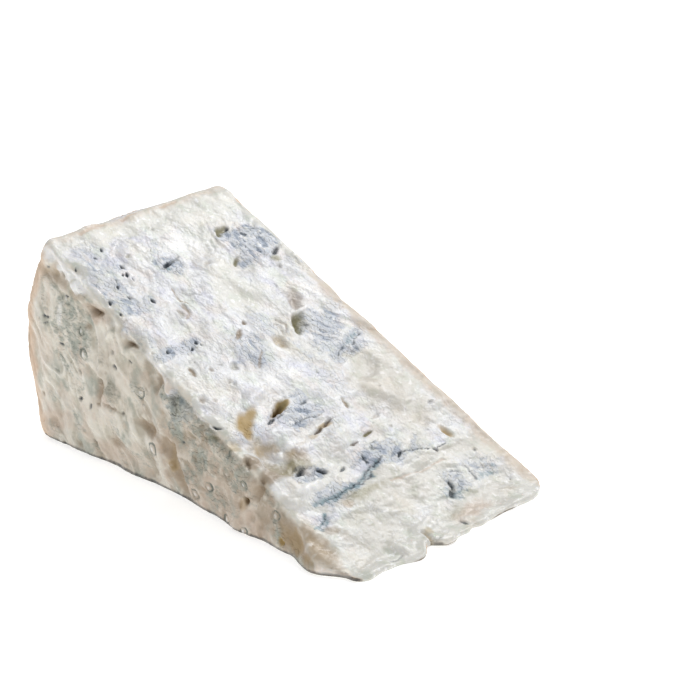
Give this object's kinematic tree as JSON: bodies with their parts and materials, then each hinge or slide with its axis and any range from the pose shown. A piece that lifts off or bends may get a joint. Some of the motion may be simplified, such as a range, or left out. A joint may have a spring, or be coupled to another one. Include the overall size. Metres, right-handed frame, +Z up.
{
  "type": "gorgonzola wedge",
  "caption": "Wedge of soft blue-veined cheese lying on one cut face, with a sloping marbled cut on top, a curved natural rind at the thick end and a blunt thin edge.",
  "frame": {"origin": "middle of the footprint, on the surface the wedge lies on", "axes": "+X from the curved rind to the thin edge, +Z up, +Y towards the wheel's flat rind face"},
  "size_m": [0.1602, 0.095, 0.0698],
  "materials": {
    "cheese": "soft moist paste, ivory white with blue-grey marbling"
  },
  "bodies": {
    "root": {"cheese_wedge": "cheese"}
  },
  "joints": []
}
